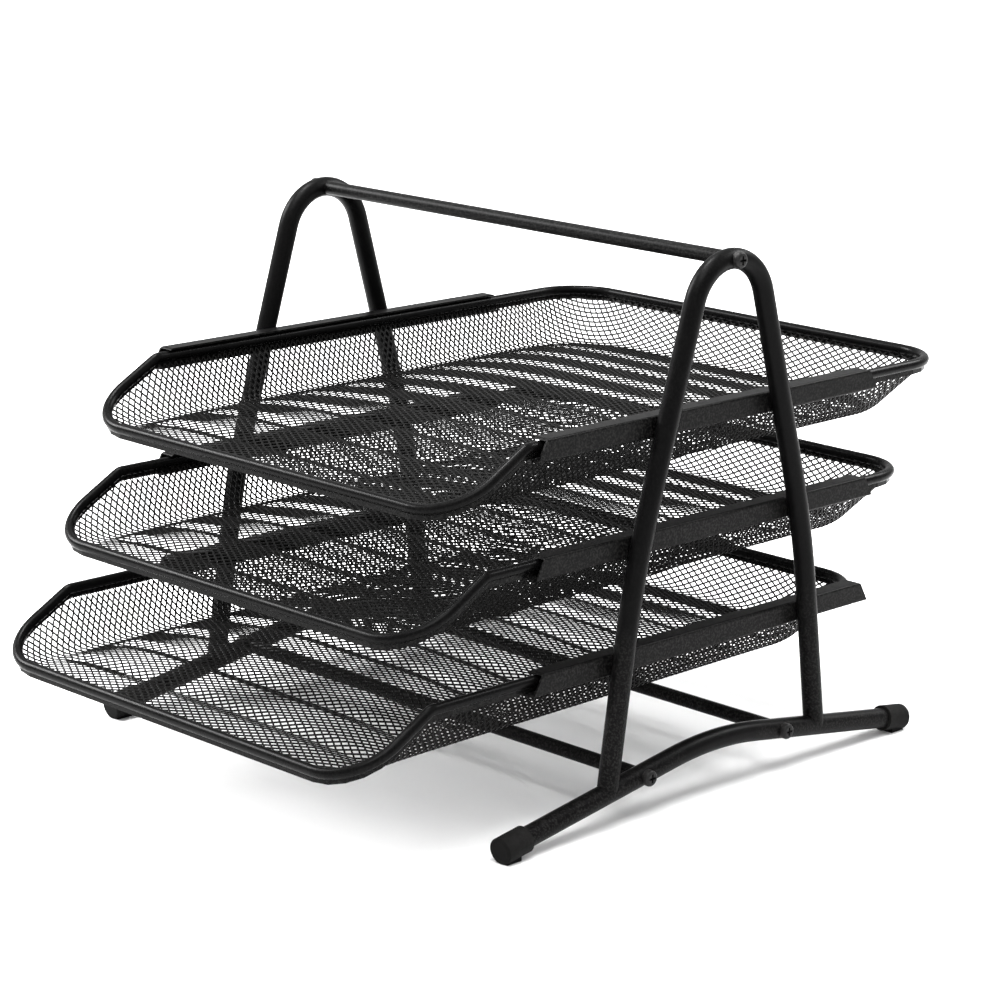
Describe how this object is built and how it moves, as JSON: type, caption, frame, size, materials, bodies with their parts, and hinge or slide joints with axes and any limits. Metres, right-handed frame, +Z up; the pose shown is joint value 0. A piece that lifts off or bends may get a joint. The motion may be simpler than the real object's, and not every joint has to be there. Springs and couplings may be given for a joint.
{
  "type": "letter tray",
  "caption": "Sliding mesh letter tray stand: black tubular side hoops on a splayed base, with rail-hung pull-out mesh paper trays and a top carrying bar.",
  "frame": {"origin": "on the table under the middle of the whole object as it stands with its trays part way out", "axes": "+X to the right of the user, +Y to the rear, +Z up; the trays pull out along -Y"},
  "size_m": [0.2944, 0.4068, 0.2625],
  "materials": {
    "stand_powder_coat": "satin black powder coat",
    "tray_powder_coat": "satin black powder coat",
    "mesh_powder_coat": "satin black powder coat on expanded steel mesh",
    "end_cap_rubber": "matte moulded black rubber",
    "plug_steel": "plain turned steel",
    "screw_black_zinc": "black zinc plated"
  },
  "bodies": {
    "stand": {"left_hoop": "stand_powder_coat", "left_foot_tube": "stand_powder_coat", "left_front_end_cap": "end_cap_rubber", "left_rear_end_cap": "end_cap_rubber", "right_hoop": "stand_powder_coat", "right_foot_tube": "stand_powder_coat", "right_front_end_cap": "end_cap_rubber", "right_rear_end_cap": "end_cap_rubber", "top_left_rail": "stand_powder_coat", "top_right_rail": "stand_powder_coat", "middle_left_rail": "stand_powder_coat", "middle_right_rail": "stand_powder_coat", "bottom_left_rail": "stand_powder_coat", "bottom_right_rail": "stand_powder_coat", "top_crossbar": "stand_powder_coat", "front_lower_crossbar": "stand_powder_coat", "rear_lower_crossbar": "stand_powder_coat", "threaded_plugs": "plug_steel", "crossbar_screws": "screw_black_zinc"},
    "top_tray": {"top_tray_rim_wire": "tray_powder_coat", "top_tray_hem_band": "tray_powder_coat", "top_tray_mesh_basket": "mesh_powder_coat"},
    "middle_tray": {"middle_tray_rim_wire": "tray_powder_coat", "middle_tray_hem_band": "tray_powder_coat", "middle_tray_mesh_basket": "mesh_powder_coat"},
    "bottom_tray": {"bottom_tray_rim_wire": "tray_powder_coat", "bottom_tray_hem_band": "tray_powder_coat", "bottom_tray_mesh_basket": "mesh_powder_coat"}
  },
  "joints": [
    {"name": "top_tray_slide", "type": "slide", "parent": "stand", "child": "top_tray", "axis": [0, -1, 0], "range_m": [0, 0.1584]},
    {"name": "middle_tray_slide", "type": "slide", "parent": "stand", "child": "middle_tray", "axis": [0, -1, 0], "range_m": [-0.024, 0.1344]},
    {"name": "bottom_tray_slide", "type": "slide", "parent": "stand", "child": "bottom_tray", "axis": [0, -1, 0], "range_m": [-0.0566, 0.1018]}
  ]
}
